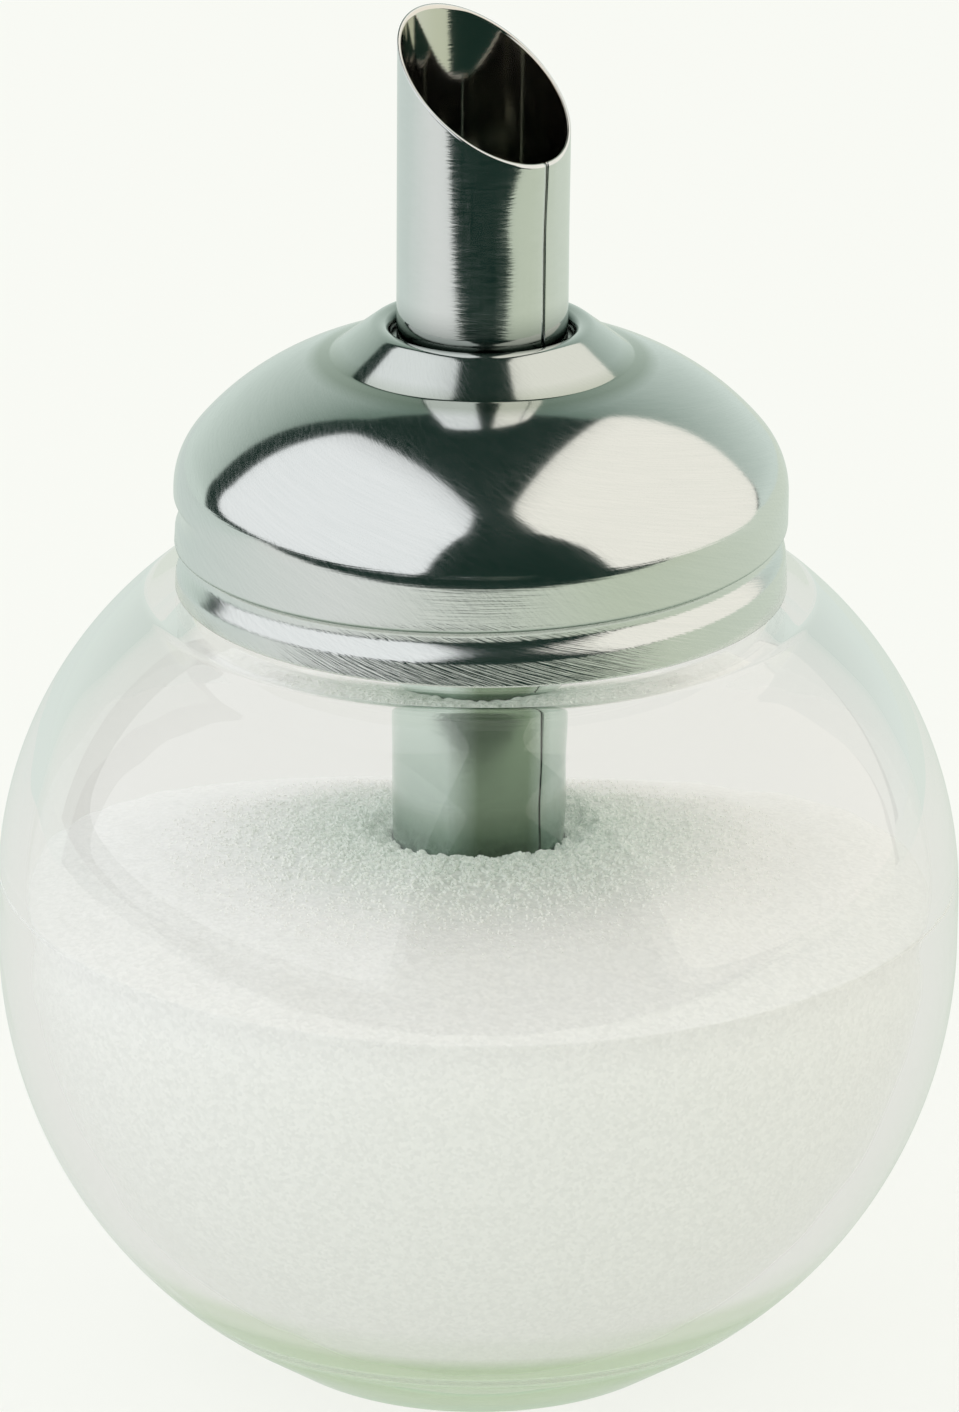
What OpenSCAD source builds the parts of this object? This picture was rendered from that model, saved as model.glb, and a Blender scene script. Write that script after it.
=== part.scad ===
// Sugar dispenser: ball-shaped glass jar, screw cap drawn from sheet steel, rolled pour tube
// with a slanted mouth, and a small flap valve that hangs inside the tube.
// Millimetres, +Z up, origin at the middle of the foot. The mouth's low side faces +X.

/* [Glass jar] */
// Widest diameter of the ball
ball_d = 95; // [88:1:104]
// Height of the lower ball's centre above the table
ball_z = 42.8; // [41.8:0.1:44.5]
// Straight waist between the lower ball and the shoulder curve
waist_h = 4.6; // [3:0.1:7]
// Radius of the shoulder curve above the waist
shoulder_r = 40; // [39:0.5:43]
// Glass wall at the waist
glass_t = 3.2; // [2.4:0.1:4]
// Glass under the sugar
floor_t = 6.5; // [5:0.1:8]
// Outer radius of the ring that the jar stands on
foot_r = 21; // [19:0.1:23]
// Width of the flat ring that it stands on
foot_w = 2.5; // [2:0.1:4]
// Rounding of the foot's edge
heel_r = 2; // [1.4:0.1:2.6]
// Depth of the hollow under the foot
hollow_h = 1.2; // [0.6:0.1:1.8]
// How far the jar's ledge stands out past the skirt
ledge_out = 3.3; // [2.7:0.1:4.1]
// Height of the neck above the ledge
neck_h = 12.8; // [12:0.1:13.6]
// Glass wall of the neck
neck_t = 3.45; // [2.6:0.05:4]
// How far the throat starts below the ledge
throat_drop = 2; // [1.5:0.1:3]

/* [Cap] */
// Outer diameter of the cap's skirt
skirt_d = 59.8; // [59:0.1:61]
// Thickness of the steel sheet
sheet_t = 0.45; // [0.35:0.05:0.55]
// Gap between the skirt's edge and the jar's ledge
skirt_gap = 1.1; // [0.8:0.1:1.6]
// Radius of the cap's shoulder
cap_shoulder_r = 7.8; // [7.2:0.1:8.4]
// Turn of the shoulder before the dome starts, in degrees
cap_shoulder_a = 39.8; // [38:0.2:42]
// Radius of the dome
dome_r = 26.2; // [25:0.1:27.5]
// Turn of the dome before the collar starts, in degrees
dome_a = 34.8; // [33.5:0.1:36]
// Radius of the hollow bend between the dome and the collar
bend_r = 0.8; // [0.6:0.1:1.2]
// How far the collar's wall leans back, in degrees
collar_a = 52; // [49:0.5:55]
// Radius of the collar's rolled lip
lip_r = 1.3; // [1:0.1:1.5]
// Gap between the rolled lip and the tube
lip_gap = 0.5; // [0.4:0.05:0.6]

/* [Thread] */
// Rise of the thread in one turn
pitch = 4.7; // [4.4:0.1:5.1]
// Depth of the groove rolled into the skirt
groove_depth = 1.1; // [0.8:0.05:1.2]
// Flat floor of the groove
groove_floor = 0.7; // [0.5:0.05:0.9]
// Height of the groove's upper flank
groove_top = 0.8; // [0.6:0.05:1]
// Height of the groove's lower flank
groove_low = 1.9; // [1.6:0.05:2.1]
// Height of the groove's middle above the skirt's edge, at the low side of the mouth
groove_z = 5.05; // [4.8:0.05:5.4]
// Angle at which the groove starts
groove_start = 170; // [165:5:200]
// Angle at which the groove ends
groove_end = 612; // [580:4:620]
// Turn over which the groove fades in and out
fade_a = 36; // [24:2:48]
// Angle at which the glass thread starts
glass_start = -60; // [-60:5:0]
// Angle at which the glass thread ends
glass_end = 485; // [440:5:500]
// Width of the glass thread's crest
crest_w = 0.9; // [0.6:0.05:1]
// Height of the glass thread's upper flank
crest_back = 1.2; // [0.9:0.05:1.4]
// Play between the two threads along the axis
thread_play = 0.25; // [0.2:0.05:0.35]
// Play between the cap's thread and the neck
neck_play = 0.3; // [0.25:0.05:0.4]
// Play between the glass thread's crest and the skirt
crest_play = 0.35; // [0.3:0.05:0.45]

/* [Pour tube] */
// Outer diameter of the tube
tube_d = 16.6; // [15.8:0.1:17.4]
// Wall of the tube
tube_t = 0.5; // [0.4:0.05:0.6]
// Height of the tube's lower end above the table
tube_z = 16; // [13:0.5:22]
// Height of the mouth's middle above the cap's lip
mouth_h = 23.8; // [20:0.1:28]
// Slope of the slanted mouth, in degrees
mouth_a = 36.6; // [30:0.2:42]
// Width of the open butt seam
seam_w = 0.25; // [0.15:0.05:0.4]

/* [Seal, liner and ferrule] */
// Thickness of the seal ring
seal_t = 1.2; // [1:0.1:1.6]
// Width of the seal ring
seal_w = 3.3; // [2.6:0.1:3.4]
// Thickness of the liner plate
liner_t = 0.5; // [0.4:0.05:0.7]
// How far the liner plate's edge lies inside the skirt
liner_inset = 1.7; // [1.4:0.05:2]
// Width of the plate's flat rim, outside its stiffening bead
liner_rim = 5.5; // [4.5:0.1:6.5]
// Width of the bead
bead_w = 6; // [5:0.1:7]
// Width of each of the bead's flanks
bead_flank = 1.5; // [1.2:0.1:1.8]
// Height of the bead
bead_h = 1.2; // [0.8:0.1:1.6]
// Wall of the ferrule round the tube
ferrule_t = 0.7; // [0.5:0.05:0.9]
// Radius of the ferrule's flange
ferrule_r = 14; // [12.5:0.25:14.5]
// Height of the ring that locks the liner plate
lock_h = 0.9; // [0.7:0.1:1.2]
// Width of the lock ring
lock_w = 1.5; // [1.2:0.1:2]

/* [Flap valve] */
// Depth of the valve seat's face below the middle of the mouth
seat_drop = 19.5; // [17.5:0.5:22]
// Radius of the hole in the valve seat
seat_hole_r = 5; // [4.6:0.1:5.1]
// Thickness of the valve seat's sheet
seat_t = 0.6; // [0.5:0.05:0.8]
// Height of the seat's skirt, which grips the tube
seat_h = 3; // [2:0.25:4]
// Radius of the flap
flap_r = 6.1; // [6:0.05:6.15]
// Thickness of the flap
flap_t = 0.5; // [0.4:0.05:0.6]
// Radius of the flap's hinge pin
pin_r = 0.5; // [0.4:0.05:0.55]
// Distance of the hinge pin from the tube's axis
pin_x = 6.2; // [6.1:0.05:6.3]
// Length of the flap's rolled knuckle
knuckle_w = 4; // [3.6:0.1:4.2]
// Height of the boss pressed into the flap
boss_h = 0.4; // [0.2:0.1:0.6]

/* [Sugar] */
// Height of the sugar at the glass
sugar_z = 49.2; // [40:0.2:52]
// Height of the heap above the sugar's edge
heap_h = 7.2; // [5:0.2:8]

/* [Hidden] */
$fn = 96;

// Gaps and running fits
rest_gap = 0.3;
face_gap = 0.05;
run_gap = 0.05;
lock_gap = 0.02;
tube_play = 0.2;

// Jar
ball_r = ball_d / 2;
skirt_r = skirt_d / 2;
ledge_r = skirt_r + ledge_out;
waist_z = ball_z + waist_h;
bore_in_r = ball_r - glass_t;
ledge_a = acos((ledge_r - ball_r + shoulder_r) / shoulder_r);
ledge_round = 1.5;
ledge_z = waist_z + (shoulder_r - ledge_round) * sin(ledge_a) + ledge_round;
neck_z = ledge_z + neck_h;
neck_round = 0.8;

// Thread radii, from the skirt inwards
land_r = skirt_r - sheet_t;
groove_r = skirt_r - groove_depth;
ridge_r = groove_r - sheet_t;
neck_r = ridge_r - neck_play;
crest_r = land_r - crest_play;
throat_r = neck_r - neck_t;
top_slope = groove_top / groove_depth;
low_slope = groove_low / groove_depth;
top_shift = sheet_t * sqrt(1 + top_slope * top_slope);
low_shift = sheet_t * sqrt(1 + low_slope * low_slope);
sweep_step = 6;

// Stack under the dome
seal_z = neck_z + face_gap;
liner_z = seal_z + seal_t + face_gap;
liner_top = liner_z + liner_t;
liner_r = skirt_r - liner_inset;

// Cap
skirt_z = ledge_z + skirt_gap;
shoulder_c = skirt_r - cap_shoulder_r;
seat_in_r = cap_shoulder_r - sheet_t;
shoulder_z = liner_top + rest_gap - sqrt(seat_in_r * seat_in_r - pow(liner_r - shoulder_c, 2));

// Tube and its stack
tube_r = tube_d / 2;
tube_in = tube_r - tube_t;
liner_hole = tube_r + tube_play;

// A stretch of arc round (cr, cz), as points
function arc(cr, cz, r, a0, a1, n) =
    [for (i = [0 : n]) let (a = a0 + (a1 - a0) * i / n) [cr + r * cos(a), cz + r * sin(a)]];

// Reverses a list of points
function back(p) = [for (i = [len(p) - 1 : -1 : 0]) p[i]];

// Height of the groove's middle at an angle
function groove_mid(a) = skirt_z + groove_z + pitch * (a / 360 - 1);

// 0 at both ends of a thread and 1 along its middle
function fade(a, a0, a1) = min(1, (a - a0) / fade_a, (a1 - a) / fade_a);

// Centres of the cap's curves, from the dome to the lip
dome_end_a = cap_shoulder_a + dome_a;
dome_c = [shoulder_c - (dome_r - cap_shoulder_r) * cos(cap_shoulder_a),
    shoulder_z - (dome_r - cap_shoulder_r) * sin(cap_shoulder_a)];
bend_c = dome_c + (dome_r + bend_r) * [cos(dome_end_a), sin(dome_end_a)];
lip_c_r = tube_r + lip_gap + lip_r;
collar_run = (bend_c[0] - lip_c_r - (bend_r + lip_r) * cos(collar_a)) / sin(collar_a);
lip_c = [lip_c_r, bend_c[1] - (bend_r + lip_r) * sin(collar_a) + collar_run * cos(collar_a)];
lip_top = lip_c[1] + lip_r;

// Cap outline from the skirt's edge to the lip, moved inwards by t
function cap_line(t) = concat(
    [[skirt_r - t, skirt_z]],
    arc(shoulder_c, shoulder_z, cap_shoulder_r - t, 0, cap_shoulder_a, 9),
    arc(dome_c[0], dome_c[1], dome_r - t, cap_shoulder_a + 3, dome_end_a, 10),
    arc(bend_c[0], bend_c[1], bend_r + t, 180 + dome_end_a, 180 + collar_a, 3),
    arc(lip_c[0], lip_c[1], lip_r - t, collar_a, 180, 9));

mouth_z = lip_top + mouth_h;
seat_z = mouth_z - seat_drop;
pin_z = seat_z + face_gap + 2 * pin_r;
knuckle_r = 2 * pin_r;

// Carries a section along the thread; section(k) gives its points at fade k
module thread_sweep(a0, a1, lift, rings) {
    m = len(rings[0]);
    n = len(rings) - 1;
    pts = [for (i = [0 : n]) let (a = a0 + (a1 - a0) * i / n)
        for (p = rings[i]) [p[0] * cos(a), p[0] * sin(a), groove_mid(a) + lift + p[1]]];
    sides = [for (i = [0 : n - 1], j = [0 : m - 1])
        let (p = i * m + j, q = i * m + (j + 1) % m)
        each [[p, q, q + m], [p, q + m, p + m]]];
    start = [for (j = [m - 1 : -1 : 0]) j];
    finish = [for (j = [0 : m - 1]) n * m + j];
    polyhedron(points = pts, faces = concat([start], sides, [finish]), convexity = 6);
}

// The groove's section, open to the outside
function groove_section(k) =
    let (skin = 0.3, deep = skirt_r + 0.1 - k * (groove_depth + 0.1), half = groove_floor / 2)
    [[deep, half], [deep, -half],
        [skirt_r + skin, -half - groove_low - skin * low_slope],
        [skirt_r + skin, half + groove_top + skin * top_slope]];

// The ridge that the groove raises inside the skirt, rooted in the sheet
function ridge_section(k) =
    let (root = land_r + sheet_t / 3, tip = root - k * (root - ridge_r), half = groove_floor / 2,
        top_tip = half - sheet_t * top_slope + top_shift,
        low_tip = half - sheet_t * low_slope + low_shift,
        rise = root - ridge_r)
    [[tip, top_tip], [tip, -low_tip],
        [root + 0.01, -low_tip - rise * low_slope], [root + 0.01, top_tip + rise * top_slope]];

// The glass thread's section, which the cap's ridge pulls against
function glass_section(k) =
    let (root = neck_r - 0.4, tip = root + 0.1 + k * (crest_r - root - 0.1),
        low = groove_floor / 2 + top_shift + thread_play,
        low_tip = low + (crest_r - groove_r) * top_slope,
        low_root = low + (root - groove_r) * top_slope)
    [[root, low_root], [tip, low_tip], [tip, low_tip + crest_w],
        [root, low_tip + crest_w + crest_back]];

module glass_jar() {
    throat_z = ledge_z - throat_drop;
    h = throat_z - waist_z;
    in_c = (bore_in_r * bore_in_r - throat_r * throat_r - h * h) / (2 * (bore_in_r - throat_r));
    in_r = bore_in_r - in_c;
    throat_a = asin(h / in_r);
    heel_a = -55;
    low_a = -54.4;
    floor_a = asin((floor_t + 1.2 - ball_z) / bore_in_r);
    outer = concat(
        [[0, hollow_h], [foot_r - 2.5 * foot_w, hollow_h], [foot_r - foot_w, 0]],
        arc(foot_r, heel_r, heel_r, -90, heel_a, 4),
        arc(0, ball_z, ball_r, low_a, 0, 18),
        arc(ball_r - shoulder_r, waist_z, shoulder_r, 0, ledge_a, 16),
        arc(ledge_r - ledge_round * cos(ledge_a), ledge_z - ledge_round, ledge_round,
            ledge_a + 10, 90, 4),
        arc(neck_r + neck_round, ledge_z + neck_round, neck_round, 270, 180, 4),
        arc(neck_r - neck_round, neck_z - neck_round, neck_round, 0, 90, 4));
    inner = concat(
        arc(throat_r + neck_round, neck_z - neck_round, neck_round, 90, 180, 4),
        back(arc(in_c, waist_z, in_r, 0, throat_a, 14)),
        back(arc(0, ball_z, bore_in_r, floor_a, 0, 16)),
        [[bore_in_r * cos(floor_a) - 4, floor_t], [0, floor_t + 0.6]]);
    rings = floor((glass_end - glass_start) / sweep_step);
    color([0.86, 0.93, 0.9, 0.45])
    union() {
        rotate_extrude()
            polygon(concat(outer, inner));
        thread_sweep(glass_start, glass_end, 0, [for (i = [0 : rings])
            let (a = glass_start + (glass_end - glass_start) * i / rings)
            glass_section(fade(a, glass_start, glass_end))]);
    }
}

module sugar_fill() {
    gap = rest_gap;
    fill_r = bore_in_r - gap;
    low_a = asin((floor_t + gap + 1.2 - ball_z) / fill_r);
    top_r = sugar_z > waist_z ? fill_r - 0.1 : sqrt(fill_r * fill_r - pow(sugar_z - ball_z, 2));
    crater_r = tube_r + 4.5;
    slot_r = tube_r + gap;
    core_r = tube_in - gap;
    heap = [for (i = [0 : 10]) let (s = i / 10, r = top_r + (crater_r - top_r) * s)
        [r, sugar_z + heap_h * (1 - pow(1 - s, 1.35))]];
    color("white")
    rotate_extrude()
        polygon(concat(
            [[0, floor_t + 0.6 + gap], [fill_r * cos(low_a) - 4, floor_t + gap]],
            arc(0, ball_z, fill_r, low_a, 0, 16),
            heap,
            [[slot_r, sugar_z + heap_h - 1.3], [slot_r, tube_z - gap], [core_r, tube_z - gap],
                [core_r, sugar_z + heap_h - 1.6], [0, sugar_z + heap_h - 0.9]]));
}

module seal_ring() {
    edge = 0.3;
    out_r = neck_r - edge;
    in_r = out_r - seal_w;
    color("ivory")
    translate([0, 0, seal_z])
        rotate_extrude()
            polygon([[in_r + edge, 0], [out_r - edge, 0], [out_r, edge], [out_r, seal_t - edge],
                [out_r - edge, seal_t], [in_r + edge, seal_t], [in_r, seal_t - edge],
                [in_r, edge]]);
}

// Liner plate: flat rim on the seal, a raised bead, and a hole that the tube turns in
module liner_plate() {
    bead_out = liner_r - liner_rim;
    bead_in = bead_out - bead_w;
    low = [[liner_r, 0], [bead_out, 0], [bead_out - bead_flank, bead_h],
        [bead_in + bead_flank, bead_h], [bead_in, 0], [liner_hole, 0]];
    high = [for (p = back(low)) [p[0], p[1] + liner_t]];
    color("gainsboro")
    translate([0, 0, liner_z])
        rotate_extrude()
            polygon(concat(low, high));
}

module cap_shell() {
    rings = floor((groove_end - groove_start) / sweep_step);
    angles = [for (i = [0 : rings]) groove_start + (groove_end - groove_start) * i / rings];
    color("silver")
    difference() {
        union() {
            rotate_extrude()
                polygon(concat(cap_line(0), back(cap_line(sheet_t))));
            thread_sweep(groove_start, groove_end, 0,
                [for (a = angles) ridge_section(fade(a, groove_start, groove_end))]);
        }
        thread_sweep(groove_start, groove_end, 0,
            [for (a = angles) groove_section(fade(a, groove_start, groove_end))]);
    }
}

module pour_tube() {
    big = 60;
    color("lightsteelblue")
    difference() {
        translate([0, 0, tube_z])
            cylinder(r = tube_r, h = mouth_z + big / 2 - tube_z);
        translate([0, 0, tube_z - 1])
            cylinder(r = tube_in, h = mouth_z + big - tube_z);
        translate([0, 0, mouth_z])
            rotate([0, mouth_a, 0])
                translate([-big, -big, 0])
                    cube([2 * big, 2 * big, big]);
        translate([0, -seam_w / 2, tube_z - 1])
            cube([big, seam_w, mouth_z + big - tube_z]);
    }
}

// Ferrule: flange over the liner plate, sleeve up to the underside of the collar
module tube_ferrule() {
    low = liner_top + rest_gap;
    top = lip_c[1] - rest_gap;
    in_r = tube_r + lock_gap;
    out_r = in_r + ferrule_t;
    color("slategray")
    rotate_extrude()
        polygon([[in_r, low], [ferrule_r, low], [ferrule_r, low + ferrule_t],
            [out_r + ferrule_t, low + ferrule_t], [out_r, low + 2 * ferrule_t],
            [out_r, top], [in_r, top]]);
}

module lock_ring() {
    top = liner_z - rest_gap;
    in_r = tube_r + lock_gap;
    color("dimgray")
    rotate_extrude()
        polygon([[in_r, top - lock_h], [in_r + lock_w * 0.6, top - lock_h],
            [in_r + lock_w, top - lock_h / 2], [in_r + lock_w, top], [in_r, top]]);
}

// Valve seat: a cup pressed into the tube, with two ears that hold the hinge pin
module valve_seat() {
    out_r = tube_in - lock_gap;
    ear_x = 2;
    ear_t = 0.6;
    ear_gap = 0.2;
    ear_top = pin_z + 2 * pin_r;
    color("darkkhaki")
    difference() {
        union() {
            rotate_extrude()
                polygon([[seat_hole_r, seat_z - seat_t], [out_r - seat_t, seat_z - seat_t],
                    [out_r - seat_t, seat_z - seat_h], [out_r, seat_z - seat_h],
                    [out_r, seat_z], [seat_hole_r, seat_z]]);
            for (side = [-1, 1])
                translate([-pin_x, side * (knuckle_w / 2 + ear_gap + ear_t / 2), 0])
                    rotate([90, 0, 0])
                        linear_extrude(ear_t, center = true)
                            union() {
                                translate([-ear_x / 2 + 0.2, seat_z - seat_t / 2])
                                    square([ear_x - 0.2, pin_z - seat_z + seat_t / 2]);
                                translate([0, pin_z])
                                    circle(r = 2 * pin_r - 0.2);
                            }
        }
        translate([-pin_x, 0, pin_z])
            rotate([90, 0, 0])
                cylinder(r = pin_r + lock_gap, h = knuckle_w * 3, center = true);
    }
}

module flap_pin() {
    over = 1.2;
    color("dimgray")
    translate([-pin_x, 0, pin_z])
        rotate([90, 0, 0])
            cylinder(r = pin_r, h = knuckle_w + 2 * over, center = true);
}

// Flap: a disc with a tab rolled round the pin and a round boss pressed up in the middle
module flap() {
    low = seat_z + face_gap;
    tab_x = 4.7;
    boss_r = 3;
    color("goldenrod")
    difference() {
        union() {
            translate([0, 0, low])
                linear_extrude(flap_t)
                    union() {
                        intersection() {
                            circle(r = flap_r);
                            translate([-tab_x, -flap_r])
                                square([2 * flap_r, 2 * flap_r]);
                        }
                        translate([-pin_x, -knuckle_w / 2])
                            square([pin_x, knuckle_w]);
                    }
            translate([-pin_x, 0, pin_z])
                rotate([90, 0, 0])
                    cylinder(r = knuckle_r, h = knuckle_w, center = true);
            translate([0, 0, low + flap_t])
                cylinder(r1 = boss_r, r2 = boss_r - boss_h, h = boss_h);
        }
        translate([-pin_x, 0, pin_z])
            rotate([90, 0, 0])
                cylinder(r = pin_r + run_gap, h = knuckle_w * 2, center = true);
        translate([0, 0, low - 1])
            cylinder(r = boss_r - 0.8, h = 1 + flap_t * 0.4);
    }
}

glass_jar();
sugar_fill();
seal_ring();
liner_plate();
cap_shell();
pour_tube();
tube_ferrule();
lock_ring();
valve_seat();
flap_pin();
flap();
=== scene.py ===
import math
import bpy
import numpy as np
from mathutils import Matrix, Vector


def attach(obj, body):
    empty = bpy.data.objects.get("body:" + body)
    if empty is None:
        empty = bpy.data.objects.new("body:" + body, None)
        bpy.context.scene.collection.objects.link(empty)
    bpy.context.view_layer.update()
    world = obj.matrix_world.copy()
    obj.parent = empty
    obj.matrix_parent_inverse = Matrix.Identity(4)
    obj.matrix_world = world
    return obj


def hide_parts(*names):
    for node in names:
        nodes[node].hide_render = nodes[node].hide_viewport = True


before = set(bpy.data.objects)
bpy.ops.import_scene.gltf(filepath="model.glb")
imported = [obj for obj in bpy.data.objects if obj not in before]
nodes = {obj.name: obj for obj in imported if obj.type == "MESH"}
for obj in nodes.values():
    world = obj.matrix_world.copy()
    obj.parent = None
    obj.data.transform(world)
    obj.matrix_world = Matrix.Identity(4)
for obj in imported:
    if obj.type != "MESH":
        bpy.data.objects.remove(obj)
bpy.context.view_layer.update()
print("frame loaded:", len(nodes), "CAD nodes")

mm = 0.001


# Meshes

# Puts a grid of points (around, along, xyz) into one mesh of quads. around closes on itself;
# along closes when loop is true, and otherwise its first and last columns are poles on the axis.
def gridMesh(name, points, loop):
    nu, nv = points.shape[:2]
    i = np.arange(nu)[:, None]
    following = (i + 1) % nu
    if loop:
        j = np.arange(nv)[None, :]
        j1 = (j + 1) % nv
        quads = np.stack([i * nv + j, following * nv + j, following * nv + j1, i * nv + j1], -1)
        return meshFrom(name, points.reshape(-1, 3), quads.reshape(-1, 4))
    m = nv - 2
    j = np.arange(m - 1)[None, :]
    a = i * m + j
    b = following * m + j
    quads = np.stack([a, b, b + 1, a + 1], -1).reshape(-1, 4)
    first, last = nu * m, nu * m + 1
    verts = np.concatenate([points[:, 1:-1].reshape(-1, 3), points[:1, 0], points[:1, -1]])
    k, k1 = i[:, 0], following[:, 0]
    tris = np.concatenate([
        np.stack([np.full(nu, first), k1 * m, k * m], -1),
        np.stack([np.full(nu, last), k * m + m - 1, k1 * m + m - 1], -1)])
    return meshFrom(name, verts, quads, tris)


# Makes a smooth-shaded object of the given corners, faces and triangles, all at the origin.
def meshFrom(name, verts, faces, tris=np.zeros((0, 3), int)):
    mesh = bpy.data.meshes.new(name)
    mesh.vertices.add(len(verts))
    mesh.vertices.foreach_set("co", np.asarray(verts, np.float32).ravel())
    corners = np.concatenate([faces.ravel(), tris.ravel()]).astype(np.int32)
    counts = np.concatenate([np.full(len(faces), faces.shape[1]), np.full(len(tris), 3)])
    starts = np.concatenate([[0], np.cumsum(counts)[:-1]]).astype(np.int32)
    mesh.loops.add(len(corners))
    mesh.loops.foreach_set("vertex_index", corners)
    mesh.polygons.add(len(counts))
    mesh.polygons.foreach_set("loop_start", starts)
    mesh.update(calc_edges=True)
    mesh.validate()
    mesh.shade_smooth()
    thing = bpy.data.objects.new(name, mesh)
    bpy.context.scene.collection.objects.link(thing)
    return thing


# Gives each point of a mesh one value from 0 to 1, which its material reads by name.
def markPoints(thing, name, values):
    mark = thing.data.attributes.new(name, "FLOAT", "POINT")
    mark.data.foreach_set("value", values.astype(np.float32).ravel())


# Turns (radius, height) in millimetres round the axis; both may differ with the angle.
def turned(angles, radii, heights):
    radii, heights = np.broadcast_arrays(radii, heights)
    x, y = radii * np.cos(angles)[:, None], radii * np.sin(angles)[:, None]
    return np.stack([x, y, heights], -1) * mm


# n points on an arc of radius r round (cr, cz) from angle a0 to a1 in degrees.
def arc(cr, cz, r, a0, a1, n):
    a = np.radians(np.linspace(a0, a1, n))
    return np.stack([cr + r * np.cos(a), cz + r * np.sin(a)], 1)


# Points along straight lines between corners, about step apart.
def line(*corners, step):
    out = []
    for p, q in zip(corners[:-1], corners[1:]):
        n = max(2, int(math.dist(p, q) / step) + 1)
        out.append(np.linspace(p, q, n)[:-1])
    return np.concatenate(out + [np.array([corners[-1]], float)])


# One outline from several stretches, without the points that fall on the one before.
def joined(*parts):
    pts = np.concatenate(parts)
    keep = np.r_[True, np.hypot(*np.diff(pts, axis=0).T) > 1e-4]
    return pts[keep]


# 0 below a, 1 above b, with the smooth S of 3t^2 - 2t^3 between them.
def ease(x, a, b):
    t = np.clip((x - a) / (b - a), 0, 1)
    return t * t * (3 - 2 * t)


# Smooth random hills on a plane: a sum of count sines of about the length scale, each with its
# own direction and start, divided by the root of their number.
def hills(x, y, scale, count, seed):
    rng = np.random.default_rng(seed)
    total = np.zeros_like(x)
    for _ in range(count):
        a = rng.uniform(0, 2 * np.pi)
        f = rng.uniform(0.6, 1.6) / scale
        total += np.sin(2 * np.pi * f * (x * np.cos(a) + y * np.sin(a)) + rng.uniform(0, 6.28))
    return total / math.sqrt(count)


def cosOf(degrees):
    return math.cos(math.radians(degrees))


def sinOf(degrees):
    return math.sin(math.radians(degrees))


# Node helpers

class Shader:
    def __init__(self, name, world=None):
        self.block = world or bpy.data.materials.new(name)
        self.block.use_nodes = True
        self.tree = self.block.node_tree
        self.tree.nodes.clear()

    # Links a socket where the value is one, and otherwise sets it.
    def feed(self, socket, value):
        if isinstance(value, bpy.types.NodeSocket):
            self.tree.links.new(value, socket)
        else:
            socket.default_value = value

    def node(self, kind, inputs=None, **props):
        n = self.tree.nodes.new("ShaderNode" + kind)
        for key, value in props.items():
            setattr(n, key, value)
        for key, value in (inputs or {}).items():
            self.feed(n.inputs[key], value)
        return n

    def math(self, operation, *values):
        return self.node("Math", dict(enumerate(values)), operation=operation).outputs[0]

    # Blend of two colours.
    def mix(self, fac, a, b):
        n = self.node("Mix", data_type="RGBA")
        for key, kind, value in (("Factor", "VALUE", fac), ("A", "RGBA", a), ("B", "RGBA", b)):
            self.feed(next(s for s in n.inputs if s.name == key and s.type == kind), value)
        return next(s for s in n.outputs if s.type == "RGBA")

    # Blend of two plain values.
    def between(self, fac, a, b):
        return self.node("Mix", {0: fac, 2: a, 3: b}, data_type="FLOAT").outputs[0]

    def spread(self, value, lo, hi, outLo=0.0, outHi=1.0):
        inputs = {"Value": value, "From Min": lo, "From Max": hi, "To Min": outLo, "To Max": outHi}
        return self.node("MapRange", inputs).outputs[0]

    # The piece's own coordinates in metres: the vector, its three parts, and the distance from the axis.
    def place(self):
        coord = self.node("TexCoord").outputs["Object"]
        x, y, z = self.node("SeparateXYZ", {"Vector": coord}).outputs
        squares = self.math("ADD", self.math("MULTIPLY", x, x), self.math("MULTIPLY", y, y))
        return coord, x, y, z, self.math("SQRT", squares)

    # How far a vector reaches along a fixed direction.
    def along(self, vector, direction):
        inputs = {0: vector, 1: tuple(direction)}
        return self.node("VectorMath", inputs, operation="DOT_PRODUCT").outputs["Value"]

    def bump(self, height, strength, distance, under=None):
        inputs = {"Strength": strength, "Distance": distance, "Height": height}
        if under:
            inputs["Normal"] = under
        return self.node("Bump", inputs).outputs[0]

    def attribute(self, name):
        return self.node("Attribute", attribute_name=name).outputs["Fac"]

    def finish(self, surface, volume=None):
        kind = "OutputWorld" if isinstance(self.block, bpy.types.World) else "OutputMaterial"
        out = self.node(kind, {"Surface": surface})
        if volume:
            self.tree.links.new(volume, out.inputs["Volume"])
        return self.block

    # Ends a material that shines in one tone.
    def shine(self, tone, strength=1.0):
        return self.finish(self.node("Emission", {"Color": tone, "Strength": strength}).outputs[0])


def rgba(r, g, b):
    return (r, g, b, 1.0)


# Sizes that several pieces share, in millimetres; the groove's middle is given at one angle in degrees

size = {
    "ballRadius": 47.5, "ballHeight": 42.8, "glassWall": 3.2, "floorHeight": 8.2,
    "pitch": 4.7, "grooveMiddle": 83.96, "grooveAngle": 315.0,
    "tubeRadius": 8.3, "tubeWall": 0.32, "tubeBottom": 16.0,
}

# Where the photograph was taken from, in degrees, metres and millimetres of lens, and the level
# directions that follow from it.
shot = {"azimuth": 45.0, "elevation": 20.74, "distance": 0.8, "aim": 0.06634, "lens": 305.8, "roll": 0.42}
toCamera = np.array([sinOf(shot["azimuth"]), -cosOf(shot["azimuth"]), 0.0])
toRight = np.array([cosOf(shot["azimuth"]), sinOf(shot["azimuth"]), 0.0])


# Height of the thread groove's middle at an angle in degrees: it rises by the pitch in each turn.
def grooveHeight(degrees):
    return size["grooveMiddle"] + size["pitch"] * (degrees - size["grooveAngle"]) / 360


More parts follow.
